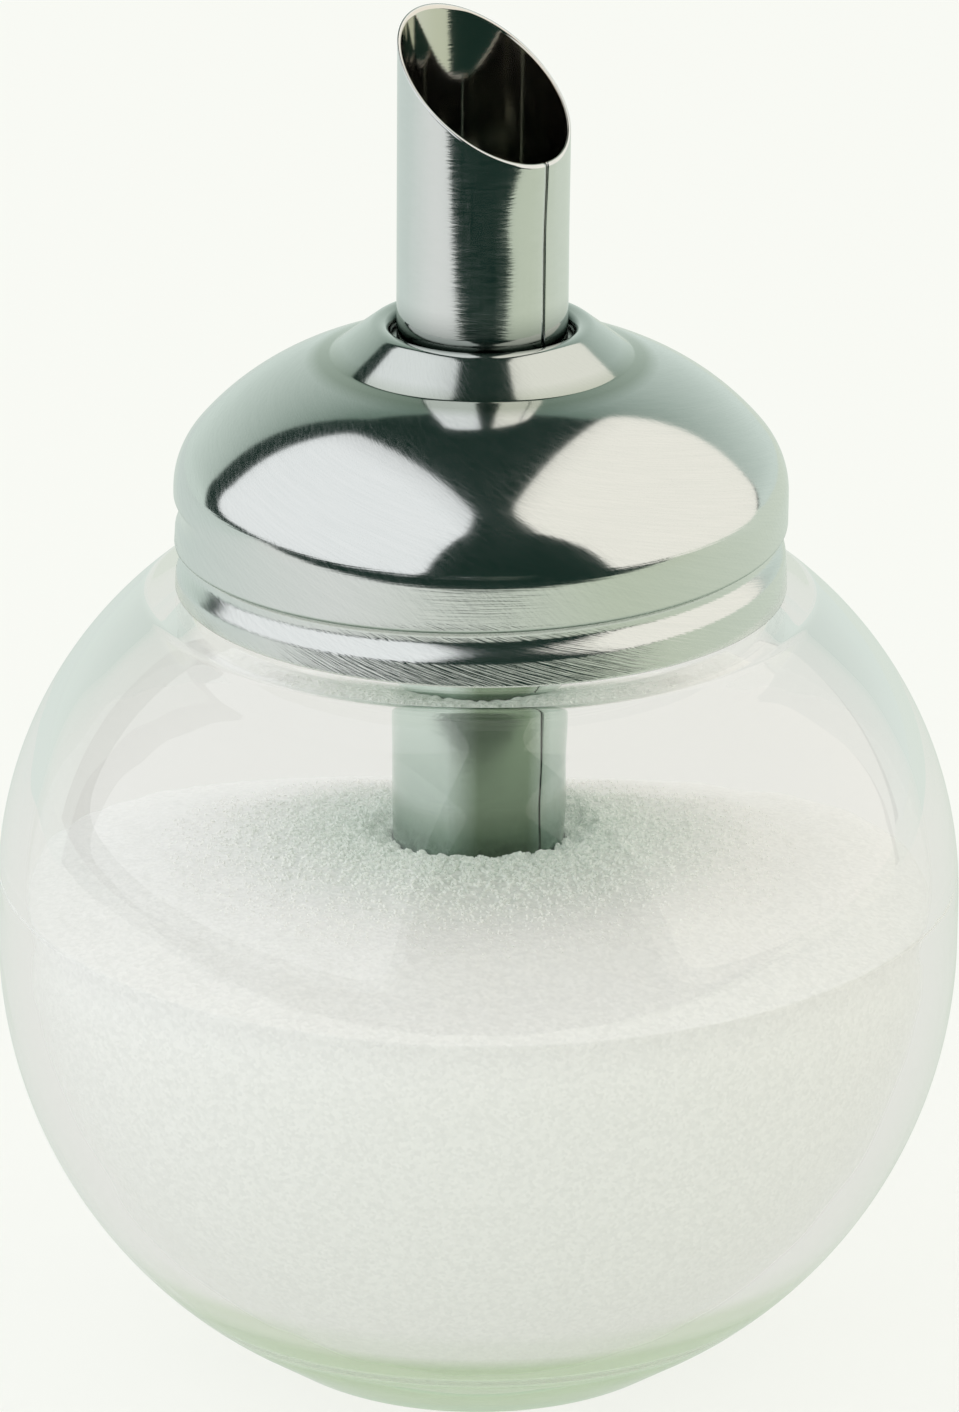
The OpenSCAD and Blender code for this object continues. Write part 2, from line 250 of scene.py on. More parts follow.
# 1 along a thread between two angles in degrees, fading to 0 at both ends.
def threadFade(degrees, start, end, fade):
    return np.clip((degrees - start) / fade, 0, 1) * np.clip((end - degrees) / fade, 0, 1)


# Glass jar

jarShape = {
    "around": 256, "waistTop": 47.4, "shoulderRadius": 40.0,
    "ledgeRadius": 33.2, "ledgeHeight": 78.4, "ledgeRound": 1.5, "rootRound": 0.8,
    "neckRadius": 28.05, "neckTop": 91.2, "lipRound": 0.8,
    "throatRadius": 24.6, "throatBottom": 76.4, "throatEase": 1.5,
    "footRadius": 21.0, "ringWidth": 2.5, "ringSlope": (0.8, 0.12),
    "hollowRadius": 14.75, "hollowDepth": 1.2, "hollowTurn": 60.0,
    "heelRound": 2.0, "heelEnd": -56.0, "ballStart": -54.4, "ledgeOverlap": 8.0,
    "floorRound": 3.2, "floorTurn": -35.0, "floorInset": 4.0, "floorFlat": (4.5, 0.02),
    "floorCrown": 0.6, "floorRise": 1.2,
    "ridgeDepth": 1.05, "ridgeStart": -60.0, "ridgeEnd": 485.0, "ridgeFade": 36.0,
    "ridgeFoot": (-1.5, -0.4), "ridgeTop": (0.4, 1.6),
    "waveDepth": 0.006, "waveRound": 44.0, "waveClimb": (0.9, 0.5), "waveFrom": 20.0,
}


# Angle in degrees at which the ball's inside, of radius r, reaches a height over the floor.
def floorAngle(r, rise):
    return math.degrees(math.asin((size["floorHeight"] + rise - size["ballHeight"]) / r))


# Outside and inside of the jar as one profile of arcs and lines, from the foot's middle up over the
# rim to the floor's middle. The ball's circle goes up to the waist, a smaller one to the ledge.
def jarProfile():
    j = jarShape
    ballR, ballZ, waistZ = size["ballRadius"], size["ballHeight"], j["waistTop"]
    shoulderR, ledgeR, ledgeZ = j["shoulderRadius"], j["ledgeRadius"], j["ledgeHeight"]
    ledgeRound = j["ledgeRound"]
    neckR, topZ, lip, root = j["neckRadius"], j["neckTop"], j["lipRound"], j["rootRound"]
    footR, heel, hollowR, hollowZ = j["footRadius"], j["heelRound"], j["hollowRadius"], j["hollowDepth"]
    ringR = footR - j["ringWidth"]
    slopeRun, slopeRise = j["ringSlope"]
    ledgeTurn = math.degrees(math.acos((ledgeR - ballR + shoulderR) / shoulderR))
    outside = joined(
        line((0, hollowZ), (hollowR, hollowZ), step=2),
        arc(hollowR, 0, hollowZ, 90, j["hollowTurn"], 5),
        line((ringR - slopeRun, slopeRise), (ringR, 0.0), (footR, 0.0), step=0.5),
        arc(footR, heel, heel, -90, j["heelEnd"], 8),
        arc(0, ballZ, ballR, j["ballStart"], 0, 60),
        line((ballR, ballZ), (ballR, waistZ), step=1),
        arc(ballR - shoulderR, waistZ, shoulderR, 0, ledgeTurn, 60),
        arc(ledgeR - ledgeRound * cosOf(ledgeTurn), ledgeZ - ledgeRound, ledgeRound,
            ledgeTurn + j["ledgeOverlap"], 90, 8),
        line((ledgeR - ledgeRound, ledgeZ), (neckR + root, ledgeZ), step=0.5),
        arc(neckR + root, ledgeZ + root, root, 270, 180, 8),
        line((neckR, ledgeZ + root), (neckR, topZ - lip), step=0.2),
        arc(neckR - lip, topZ - lip, lip, 0, 90, 8))
    # inside, the shoulder's circle passes through the waist and the throat's lower end
    inR, throatR = ballR - size["glassWall"], j["throatRadius"]
    up = j["throatBottom"] - waistZ
    centre = (inR ** 2 - throatR ** 2 - up ** 2) / (2 * (inR - throatR))
    throatTurn = math.degrees(math.asin(up / (inR - centre)))
    floorTurn = floorAngle(inR, j["floorRise"])
    floorR = inR * cosOf(floorTurn)
    floorZ, floorRound = size["floorHeight"], j["floorRound"]
    flatInset, flatLift = j["floorFlat"]
    inside = joined(
        arc(throatR + lip, topZ - lip, lip, 90, 180, 8),
        line((throatR, topZ - lip), (throatR, j["throatBottom"] + j["throatEase"]), step=1.5),
        arc(centre, waistZ, inR - centre, throatTurn - j["throatEase"], 0, 50),
        arc(0, ballZ, inR, 0, floorTurn, 60),
        arc(floorR - j["floorInset"], floorZ + floorRound, floorRound, j["floorTurn"], -90, 8),
        line((floorR - flatInset, floorZ + flatLift), (0, floorZ + j["floorCrown"]), step=2))
    return joined(outside, inside)


# The jar turned from its profile. The neck is pushed out along the thread's helix, half a pitch
# over the cap's groove, and the inside has the faint waves of pressed glass.
def makeJar():
    j = jarShape
    profile = jarProfile()
    angles = np.linspace(0, 2 * np.pi, j["around"], endpoint=False)
    radii = np.repeat(profile[None, :, 0], len(angles), 0)
    heights = np.repeat(profile[None, :, 1], len(angles), 0)
    onNeck = np.abs(radii - j["neckRadius"]) < 1e-6
    push = np.zeros_like(radii)
    for turn in (-1, 0, 1):
        degrees = np.degrees(angles)[:, None] + 360 * turn
        fade = threadFade(degrees, j["ridgeStart"], j["ridgeEnd"], j["ridgeFade"])
        off = heights - grooveHeight(degrees) - size["pitch"] / 2
        push = np.maximum(push, fade * ease(off, *j["ridgeFoot"]) * (1 - ease(off, *j["ridgeTop"])))
    radii = radii + np.where(onNeck, push * j["ridgeDepth"], 0)
    inner = np.arange(len(profile))[None] > np.argmax(profile[:, 1])
    x, y = j["waveRound"] * np.cos(angles)[:, None], j["waveRound"] * np.sin(angles)[:, None]
    climbX, climbY = j["waveClimb"]
    wave = hills(x + climbX * heights, y + climbY * heights, scale=9, count=14, seed=31)
    radii = radii + np.where(inner & (radii > j["waveFrom"]), j["waveDepth"] * wave, 0)
    return gridMesh("jarGlass", turned(angles, radii, heights), loop=False)


jar = makeJar()
print("jar made")


# Sugar

sugarShape = {
    "around": 360, "edgeHeight": 49.2, "heap": 6.6, "heapCurve": 1.5, "crest": 11.0,
    "dip": 1.3, "dipRange": (8.0, 12.0), "calmEdge": (0.5, 5.0), "roughRange": (8.5, 14.0),
    "lumps": 0.175, "smallLumps": 0.042, "clods": 0.4, "grit": 0.05,
    "glassGap": 0.04, "floorGap": (0.65, 0.08), "floorInset": 4.0, "floorRise": 1.3,
    "tubeGap": 0.12, "slotTop": 52.0, "slotGap": 0.3, "coreTop": (53.6, 54.0),
    "fineRadius": (20.0, 19.7), "rows": (60, 44),
}


# Height of the sugar's surface over (x, y): a low heap, 1 - (1 - s)^1.5 high with s from 0 at the
# glass to 1 at its crest, that dips towards the tube and carries lumps, clods and grit.
def sugarTop(x, y):
    g = sugarShape
    r = np.hypot(x, y)
    edge = size["ballRadius"] - size["glassWall"]
    s = np.clip((edge - r) / (edge - g["crest"]), 0, 1)
    z = g["edgeHeight"] + g["heap"] * (1 - (1 - s) ** g["heapCurve"])
    z = z - g["dip"] * (1 - ease(r, *g["dipRange"]))
    calm = ease(edge - r, *g["calmEdge"])
    z = z + calm * g["lumps"] * hills(x, y, scale=13, count=12, seed=3)
    z = z + calm * g["smallLumps"] * hills(x, y, scale=4.5, count=24, seed=5)
    near = 1 - ease(r, *g["roughRange"])
    z = z + near * g["clods"] * hills(x, y, scale=2.2, count=30, seed=9)
    return z + g["grit"] * hills(x, y, scale=1.2, count=40, seed=11)


# The sugar turned from its profile: its skin follows the glass's inside with a hair's gap, its top
# is the heap, and a narrow slot round the tube lets the tube turn and lift out.
def makeSugar():
    g = sugarShape
    inR = size["ballRadius"] - size["glassWall"] - g["glassGap"]
    floorTurn = floorAngle(inR, g["floorRise"])
    middleZ, edgeZ = (size["floorHeight"] + gap for gap in g["floorGap"])
    skin = joined(
        line((0, middleZ), (inR * cosOf(floorTurn) - g["floorInset"], edgeZ), step=2),
        arc(0, size["ballHeight"], inR, floorTurn, 0, 60))
    angles = np.linspace(0, 2 * np.pi, g["around"], endpoint=False)
    slotOut = size["tubeRadius"] + g["tubeGap"]
    slotIn = size["tubeRadius"] - size["tubeWall"] - g["tubeGap"]
    slotZ = size["tubeBottom"] - g["slotGap"]
    wide, narrow = g["fineRadius"]
    rows = np.concatenate([np.linspace(inR, wide, g["rows"][0]), np.linspace(narrow, slotOut, g["rows"][1])])
    topR = np.repeat(rows[None], len(angles), 0)
    topZ = sugarTop(topR * np.cos(angles)[:, None], topR * np.sin(angles)[:, None])
    coreR = np.concatenate([[slotOut, slotOut, slotIn, slotIn], np.linspace(slotIn, 0, 8)[1:]])
    coreZ = np.concatenate([[g["slotTop"], slotZ, slotZ, g["coreTop"][0]], np.full(7, g["coreTop"][1])])
    skinR, skinZ, coreR, coreZ = (np.repeat(row[None], len(angles), 0) for row in (*skin.T, coreR, coreZ))
    radii = np.concatenate([skinR, topR, coreR], 1)
    heights = np.concatenate([skinZ, topZ, coreZ], 1)
    return gridMesh("sugarHeap", turned(angles, radii, heights), loop=False)


crystalShape = {
    "count": 15500, "inner": 8.6, "outer": 31.0, "crowding": 1.9, "depth": (-0.1, 0.16), "seed": 21,
    "edge": 0.33, "edgeSpread": (0.7, 1.1), "proportions": (1.0, 0.9, 0.8),
    "fineRange": (13.0, 31.0), "fineShare": 0.6,
}


# Loose crystals: small boxes scattered over the heap, denser and larger near the tube. Each is
# turned its own way by a random unit quaternion, written out as a matrix for all at once.
def makeCrystals():
    c = crystalShape
    count = c["count"]
    rng = np.random.default_rng(c["seed"])
    r = c["inner"] + (c["outer"] - c["inner"]) * rng.random(count) ** c["crowding"]
    a = rng.random(count) * 2 * np.pi
    x, y = r * np.cos(a), r * np.sin(a)
    z = sugarTop(x, y) + rng.uniform(*c["depth"], count)
    fine = 1 - c["fineShare"] * ease(r, *c["fineRange"])
    edges = c["edge"] * fine[:, None] * rng.uniform(*c["edgeSpread"], (count, 3)) * c["proportions"]
    corner = np.array([[i, j, k] for i in (-.5, .5) for j in (-.5, .5) for k in (-.5, .5)])
    box = corner[None] * edges[:, None]
    q = rng.normal(size=(count, 4))
    q /= np.linalg.norm(q, axis=1, keepdims=True)
    w, u, v, t = q.T
    turn = np.stack([
        1 - 2 * (v * v + t * t), 2 * (u * v - t * w), 2 * (u * t + v * w),
        2 * (u * v + t * w), 1 - 2 * (u * u + t * t), 2 * (v * t - u * w),
        2 * (u * t - v * w), 2 * (v * t + u * w), 1 - 2 * (u * u + v * v)], -1).reshape(-1, 3, 3)
    verts = np.einsum("nij,nkj->nki", turn, box) + np.stack([x, y, z], -1)[:, None]
    face = np.array([[0, 1, 3, 2], [4, 6, 7, 5], [0, 4, 5, 1], [2, 3, 7, 6], [0, 2, 6, 4], [1, 5, 7, 3]])
    quads = (face[None] + 8 * np.arange(count)[:, None, None]).reshape(-1, 4)
    grains = meshFrom("sugarCrystals", verts.reshape(-1, 3) * mm, quads)
    grains.data.shade_flat()
    return grains


sugar = makeSugar()
crystals = makeCrystals()
print("sugar made")


# Cap

capShape = {
    "around": 384, "skirtRadius": 29.9, "skirtBottom": 79.5, "sheet": 0.45, "shoulderHeight": 89.2,
    "shoulderCurve": 7.8, "shoulderTurn": 39.8, "domeCurve": 26.2, "domeTurn": 34.8,
    "bendCurve": 0.8, "collarLean": 52.0, "lipCurve": 1.3, "lipCentre": 10.1,
    "edgeInset": (0.36, 0.1), "edgeRound": 0.05, "backAngle": 135.0,
    "grooveDepth": 1.1, "grooveStart": 170.0, "grooveEnd": 612.0, "grooveFade": 36.0,
    "grooveLean": -4.6, "leanShare": 0.16, "grooveFlank": (-2.25, -0.3), "grooveTop": (0.25, 1.15),
    "creaseLow": (0.7, 0.95), "creaseHigh": (1.0, 1.3), "skirtDepth": 1.2,
}


# The cap's outline from the skirt's edge to the rolled lip, moved inwards by t: the skirt, an arc
# for the shoulder, a wider one for the dome, a small bend, the cone of the collar and the lip. Each
# arc's centre lies on the line through the point where it meets the one before.
def capLine(t, fine):
    c = capShape
    skirt, shoulderZ = c["skirtRadius"], c["shoulderHeight"]
    shoulderR, shoulderTurn, domeR = c["shoulderCurve"], c["shoulderTurn"], c["domeCurve"]
    bendR, lipR, lean = c["bendCurve"], c["lipCurve"], c["collarLean"]
    shoulderX = skirt - shoulderR
    domeX = shoulderX - (domeR - shoulderR) * cosOf(shoulderTurn)
    domeZ = shoulderZ - (domeR - shoulderR) * sinOf(shoulderTurn)
    end = shoulderTurn + c["domeTurn"]
    bendX = domeX + (domeR + bendR) * cosOf(end)
    bendZ = domeZ + (domeR + bendR) * sinOf(end)
    run = (bendX - c["lipCentre"] - (bendR + lipR) * cosOf(lean)) / sinOf(lean)
    lipZ = bendZ - (bendR + lipR) * sinOf(lean) + run * cosOf(lean)
    bend = arc(bendX, bendZ, bendR + t, 180 + end, 180 + lean, 10 if fine else 4)
    lip = arc(c["lipCentre"], lipZ, lipR - t, lean, 180, 16 if fine else 8)
    return joined(
        line((skirt - t, c["skirtBottom"]), (skirt - t, shoulderZ), step=0.14 if fine else 0.25),
        arc(shoulderX, shoulderZ, shoulderR - t, 0, shoulderTurn, 24 if fine else 10),
        arc(domeX, domeZ, domeR - t, shoulderTurn, end, 40 if fine else 16),
        bend, line(tuple(bend[-1]), tuple(lip[0]), step=0.4 if fine else 1.2), lip)


# Depth of the rolled groove at an angle and height, from 0 to 1: steep above, gentle below, with a
# faint lean of the wall under it. The second result marks the crease along its upper edge for painted shade.
def grooveShare(degrees, z):
    c = capShape
    share = np.zeros(np.broadcast_shapes(degrees.shape, z.shape))
    creaseShade = np.zeros_like(share)
    leanRun = c["grooveFlank"][0] - c["grooveLean"]
    for turn in (0, 1):
        a = degrees + 360 * turn
        fade = ease(threadFade(a, c["grooveStart"], c["grooveEnd"], c["grooveFade"]), 0, 1)
        off = z - grooveHeight(a)
        leaning = np.clip((off - c["grooveLean"]) / leanRun, 0, 1)
        flank = (1 - c["leanShare"]) * ease(off, *c["grooveFlank"]) + c["leanShare"] * leaning
        share = np.maximum(share, fade * flank * (1 - ease(off, *c["grooveTop"])))
        creaseShade = np.maximum(creaseShade, fade * ease(off, *c["creaseLow"]) * (1 - ease(off, *c["creaseHigh"])))
    return share, creaseShade


# The cap's sheet, its outline turned round the axis with the groove pressed in: outer face up the
# skirt and over the dome, inner face back down, and a little rounding of the bare edge.
def makeCap():
    c = capShape
    angles = np.linspace(0, 2 * np.pi, c["around"], endpoint=False) + math.radians(c["backAngle"])
    degrees = (np.degrees(angles) % 360)[:, None]
    degrees = np.where(degrees < c["backAngle"], degrees + 360, degrees)
    outer, inner = capLine(0, True), capLine(c["sheet"], False)[::-1]
    edgeZ = c["skirtBottom"] - c["edgeRound"]
    edge = np.array([[c["skirtRadius"] - inset, edgeZ] for inset in c["edgeInset"]])
    profile = np.concatenate([outer, inner, edge])
    r = np.repeat(profile[None, :, 0], len(angles), 0)
    z = np.repeat(profile[None, :, 1], len(angles), 0)
    share, creaseShade = grooveShare(degrees, z)
    onSkirt = r > c["skirtRadius"] - c["skirtDepth"]
    sheet = gridMesh("capSheet", turned(angles, r - share * onSkirt * c["grooveDepth"], z), loop=True)
    onOutside = np.arange(len(profile))[None] < len(outer)
    # the crease mark tells the cap's steel where to paint shade
    markPoints(sheet, "creaseShade", creaseShade * onSkirt * onOutside)
    return sheet


cap = makeCap()
print("cap made")


# Pour tube

tubeShape = {
    "around": 200, "mouthMiddle": 129.82, "mouthSlope": 36.6, "seam": 0.25,
    "spring": 0.26, "springWidth": 0.35, "springRange": (114.82, 123.82),
    "rimSetback": 0.06, "rimRound": (0.05, 0.06, 0.03),
}


# The tube's rolled sheet: a strip that runs from one side of the seam round to the other, closed
# into a thin wall. Its top follows the slanted mouth, z = middle - x * tan(slope), and beside the
# seam it springs out a little near the mouth, by exp(-a^2 / width) with a the angle off the seam.
def makeTube():
    p = tubeShape
    R, t = size["tubeRadius"], size["tubeWall"]
    half = p["seam"] / 2 / R
    a = np.linspace(half, 2 * np.pi - half, p["around"])
    slope = math.tan(math.radians(p["mouthSlope"]))
    share = np.concatenate([np.linspace(0, 0.9, 40), np.linspace(0.9, 0.988, 12)[1:], [0.994, 0.998, 1.0]])

    def wall(radius, dz=0.0):
        top = p["mouthMiddle"] - radius * np.cos(a) * slope + dz
        z = size["tubeBottom"] + (top[:, None] - size["tubeBottom"]) * share[None]
        near = np.exp(-((a[:, None] - 2 * np.pi) ** 2) / p["springWidth"])
        near = near + np.exp(-(a[:, None] ** 2) / p["springWidth"])
        lift = p["spring"] * near * ease(z, *p["springRange"])
        return np.stack([radius + lift, z], -1)

    outRound, inRound, inSetback = p["rimRound"]
    loopRZ = np.concatenate([
        wall(R, -p["rimSetback"]), wall(R - outRound)[:, -1:], wall(R - t / 2)[:, -1:],
        wall(R - t + inRound, -inSetback)[:, -1:], wall(R - t, -p["rimSetback"])[:, ::-1]], 1)
    n, m = loopRZ.shape[:2]
    pts = turned(a, loopRZ[..., 0], loopRZ[..., 1])
    i = np.arange(n - 1)[:, None]
    j = np.arange(m)[None]
    j1 = (j + 1) % m
    quads = np.stack([i * m + j, (i + 1) * m + j, (i + 1) * m + j1, i * m + j1], -1).reshape(-1, 4)
    # the two long edges beside the seam
    k = np.arange(len(share) - 1)
    inSide = m - 1 - k
    lastRow = (n - 1) * m
    endA = np.stack([k, k + 1, inSide - 1, inSide], -1)
    endB = np.stack([k, inSide, inSide - 1, k + 1], -1) + lastRow
    top = len(share) - 1
    capA = np.array([[top, top + 1, top + 3, top + 4]])
    capB = np.array([[top, top + 4, top + 3, top + 1]]) + lastRow
    tip = np.array([[top + 1, top + 2, top + 3]])
    tips = np.concatenate([tip, tip[:, ::-1] + lastRow])
    quads = np.concatenate([quads, endA, endB, capA, capB])
    sheet = meshFrom("tubeSheet", pts.reshape(-1, 3), quads, tips)
    markPoints(sheet, "inside", np.tile(np.arange(m) > len(share) + 1, n))
    return sheet


tube = makeTube()
print("tube made")


# Finishes. Colours are shares of light, heights and radii are ranges in metres, and a brush is
# given by how fine it is round the piece, how fine along it, and how far it leans.

capFinish = {
    "light": rgba(0.795, 0.81, 0.79), "dark": rgba(0.755, 0.775, 0.755),
    # the collar, bend, under-lip and crease colours are painted shade on the steel
    "collar": rgba(0.67, 0.70, 0.67), "collarEdge": (0.0150, 0.0165),
    "bend": rgba(0.52, 0.56, 0.50), "bendIn": (0.0135, 0.0148), "bendOut": (0.0172, 0.0158),
    "underLipShade": rgba(0.10, 0.14, 0.12), "lipEdge": (0.00905, 0.00945), "creaseShade": rgba(0.20, 0.28, 0.22),
    "bandTop": (0.0845, 0.0860), "wallTop": (0.0905, 0.0945),
    "roughness": 0.085, "roughSpread": 0.03, "bandRoughness": 0.045,
    "haze": 0.28, "hazeShare": 0.075, "bandHaze": 0.02, "markDistance": 0.0004,
    "fineDepth": 0.007, "ringDepth": 0.020, "bandDepth": 0.11,
    "fineBrush": (90.0, 700.0, 33.0), "bandBrush": (60.0, 450.0, 92.0), "ringBrush": (4.0, 4200.0, 0.0),
    "tintNoise": (0.35, 0.65), "roughNoise": (0.3, 0.7), "hazeNoise": (0.42, 0.66),
}
tubeFinish = {
    "light": rgba(0.82, 0.83, 0.82), "dark": rgba(0.77, 0.785, 0.77),
    # inside the tube: painted shade deep down, painted light near the mouth
    "inside": rgba(0.26, 0.30, 0.25), "mouth": rgba(0.80, 0.77, 0.71), "mouthRange": (0.112, 0.122),
    # painted shade and reflection below the cap: darker towards the sugar and on the side away from the left
    # light, with painted shadow just under the cap
    "low": rgba(0.30, 0.40, 0.34), "lowTop": rgba(0.74, 0.84, 0.79), "lowRange": (0.054, 0.072),
    "lowShade": rgba(0.10, 0.14, 0.09), "lowShadeTop": rgba(0.22, 0.31, 0.19),
    "shadeLeft": (-0.0030, 0.0, 0.0, 0.9), "shadeRight": (0.0046, 0.0068, 1.0, 0.2),
    "capShadow": rgba(0.06, 0.13, 0.08), "underCapRange": (0.0705, 0.0735, 0.0, 0.85),
    # the gap tone is painted shade on the tube's foot just over the cap's lip
    "capRange": (0.094, 0.103), "gap": rgba(0.08, 0.11, 0.09), "gapRange": (0.1052, 0.1095), "gapCurve": 1.5,
    "roughness": 0.07, "roughSpread": 0.04, "rubbed": 0.07, "rubbedRange": (0.054, 0.1),
    "insideRoughness": 0.08, "brushDepth": 0.020, "brushDistance": 0.0003,
    "haze": 0.30, "hazeShare": 0.05, "ringBrush": (4.0, 4000.0, 0.0), "longBrush": (26.0, 60.0, 0.0),
    "longShare": 0.4, "tintNoise": (0.35, 0.65), "roughNoise": (0.3, 0.7), "hazeNoise": (0.4, 0.65),
}
plainFinish = {
    "liner": rgba(0.72, 0.72, 0.70), "linerRoughness": 0.28,
    "pin": rgba(0.68, 0.68, 0.67), "pinRoughness": 0.2,
    "seal": rgba(0.85, 0.84, 0.8), "sealRoughness": 0.6,
}
glassFinish = {
    "clear": rgba(1.0, 1.0, 1.0), "bending": 1.5,
    "foot": rgba(0.62, 0.75, 0.53), "footRange": (0.0112, 0.0132),
    "shadow": rgba(0.98, 0.98, 0.98), "tint": rgba(0.55, 0.93, 0.45), "tintDensity": 1.8,
    "deepest": 4.5, "deepTone": rgba(0.74, 0.76, 0.70),
}
sugarFinish = {
    "dark": rgba(0.90, 0.885, 0.87), "light": rgba(0.985, 0.968, 0.952),
    # painted shade in the dip round the tube
    "dipShadeDark": rgba(0.70, 0.77, 0.71), "dipShadeLight": rgba(0.89, 0.92, 0.885),
    "dipRadius": (0.011, 0.027), "dipHeight": (0.046, 0.049),
    "crystalSize": 2900.0, "softSize": 1500.0, "softShare": 1.2, "relief": 0.28, "reliefDistance": 0.00012,
    "roughness": 0.5, "shine": 0.3,
    # a faint painted glow that lightens the sugar's shading, stronger on the loose crystals
    "paintedGlow": rgba(0.88, 0.95, 0.88), "crystalGlow": 0.07, "heapGlow": 0.025,
}


# Seamless brush lines on a turned piece, from a noise on (cos a, sin a, run) with a the angle round
# the axis and run the height less the radius. a is shifted by run times lean, so that the lines
# climb the piece at a slant; around sets how fine they are across and bands along.
def brushLines(s, around, bands, lean):
    _, x, y, z, radius = s.place()
    run = s.math("SUBTRACT", z, radius)
    angle = s.math("ADD", s.math("ARCTAN2", y, x), s.math("MULTIPLY", run, lean))
    vector = s.node("CombineXYZ", {
        "X": s.math("MULTIPLY", s.math("COSINE", angle), around),
        "Y": s.math("MULTIPLY", s.math("SINE", angle), around),
        "Z": s.math("MULTIPLY", run, bands)}).outputs[0]
    noise = s.node("TexNoise", {"Vector": vector, "Scale": 1.0, "Detail": 2.0, "Roughness": 0.6})
    return noise.outputs["Fac"]


# Steel with a clear reflection and a faint haze of light from round about, which the brush
# marks carry: share is how much of the haze there is.
def hazySteel(s, tint, rough, marks, haze, share):
    common = {"Base Color": tint, "Metallic": 1.0, "Normal": marks}
    sharp, veil = (s.node("BsdfPrincipled", {**common, "Roughness": r}).outputs[0] for r in (rough, haze))
    return s.finish(s.node("MixShader", {0: share, 1: sharp, 2: veil}).outputs[0])


# Polished steel sheet with fine brush lines that lean on the dome, run round the wall and slant
# steeply on the band under the groove.
def steelForCap():
    s = Shader("capSteel")
    f = capFinish
    fine = brushLines(s, *f["fineBrush"])
    coarse = brushLines(s, *f["bandBrush"])
    ring = brushLines(s, *f["ringBrush"])
    _, _, _, z, radius = s.place()
    band = s.spread(z, *f["bandTop"], 1.0, 0.0)
    wall = s.math("MULTIPLY", s.spread(z, *f["wallTop"], 1.0, 0.0), s.math("SUBTRACT", 1.0, band))
    marks = s.bump(fine, s.spread(band, 0.0, 1.0, f["fineDepth"], 0.0), f["markDistance"])
    marks = s.bump(ring, s.math("MULTIPLY", wall, f["ringDepth"]), f["markDistance"], marks)
    marks = s.bump(coarse, s.math("MULTIPLY", band, f["bandDepth"]), f["markDistance"], marks)
    rough = s.math("ADD", s.spread(fine, *f["roughNoise"], f["roughness"], f["roughness"] + f["roughSpread"]),
                   s.math("MULTIPLY", band, f["bandRoughness"]))
    tint = s.mix(s.spread(coarse, *f["tintNoise"]), f["dark"], f["light"])
    # painted shade: darker on the collar, in the bend between dome and collar, under the rolled lip and in
    # the crease
    tint = s.mix(s.spread(radius, *f["collarEdge"], 1.0, 0.0), tint, f["collar"])
    bend = s.math("MULTIPLY", s.spread(radius, *f["bendOut"]), s.spread(radius, *f["bendIn"]))
    tint = s.mix(bend, tint, f["bend"])
    tint = s.mix(s.spread(radius, *f["lipEdge"], 1.0, 0.0), tint, f["underLipShade"])
    tint = s.mix(s.attribute("creaseShade"), tint, f["creaseShade"])
    share = s.math("ADD", s.spread(fine, *f["hazeNoise"], 0.0, f["hazeShare"]),
                   s.math("MULTIPLY", band, f["bandHaze"]))
    return hazySteel(s, tint, rough, marks, f["haze"], share)


# Rolled sheet: satin, with lines across the tube and faint marks along it. Below the cap it is rougher and
# darkened by painted shade and reflection, most away from the left light, and by painted shadow under the
# cap.
def steelForTube():
    s = Shader("tubeSteel")
    f = tubeFinish
    lines = s.between(f["longShare"], brushLines(s, *f["ringBrush"]), brushLines(s, *f["longBrush"]))
    marks = s.bump(lines, f["brushDepth"], f["brushDistance"])
    coord, _, _, z, _ = s.place()
    tint = s.mix(s.spread(lines, *f["tintNoise"]), f["dark"], f["light"])
    # painted reflection and shade: the side away from the left light darker, and darker towards the sugar
    right = s.along(coord, toRight)
    shade = s.math("MULTIPLY", s.spread(right, *f["shadeLeft"]), s.spread(right, *f["shadeRight"]))
    low = s.mix(s.spread(z, *f["lowRange"]), f["low"], f["lowTop"])
    low = s.mix(shade, low, s.mix(s.spread(z, *f["lowRange"]), f["lowShade"], f["lowShadeTop"]))
    # painted shadow close under the cap
    low = s.mix(s.spread(z, *f["underCapRange"]), low, f["capShadow"])
    overCap = s.spread(z, *f["capRange"])
    tint = s.mix(overCap, low, tint)
    # painted shade at the tube's foot, where it stands in the dark gap over the cap's lip
    gap = s.math("POWER", s.spread(z, *f["gapRange"], 1.0, 0.0), f["gapCurve"])
    gap = s.math("MULTIPLY", gap, overCap)
    tint = s.mix(gap, tint, f["gap"])
    # painted shade inside the tube, lightening with painted light towards the mouth
    inside = s.attribute("inside")
    tint = s.mix(inside, tint, s.mix(s.spread(z, *f["mouthRange"]), f["inside"], f["mouth"]))
    rough = s.spread(lines, *f["roughNoise"], f["roughness"], f["roughness"] + f["roughSpread"])
    rough = s.math("ADD", rough, s.spread(z, *f["rubbedRange"], f["rubbed"], 0.0))
    rough = s.between(inside, rough, f["insideRoughness"])
    share = s.math("MULTIPLY", s.spread(lines, *f["hazeNoise"], 0.0, f["hazeShare"]),
                   s.math("SUBTRACT", 1.0, inside))
    return hazySteel(s, tint, rough, marks, f["haze"], share)


# One even colour, for the small pieces under the cap.
def plain(name, colour, roughness, metallic):
    s = Shader(name)
    inputs = {"Base Color": colour, "Metallic": metallic, "Roughness": roughness}
    return s.finish(s.node("BsdfPrincipled", inputs).outputs[0])


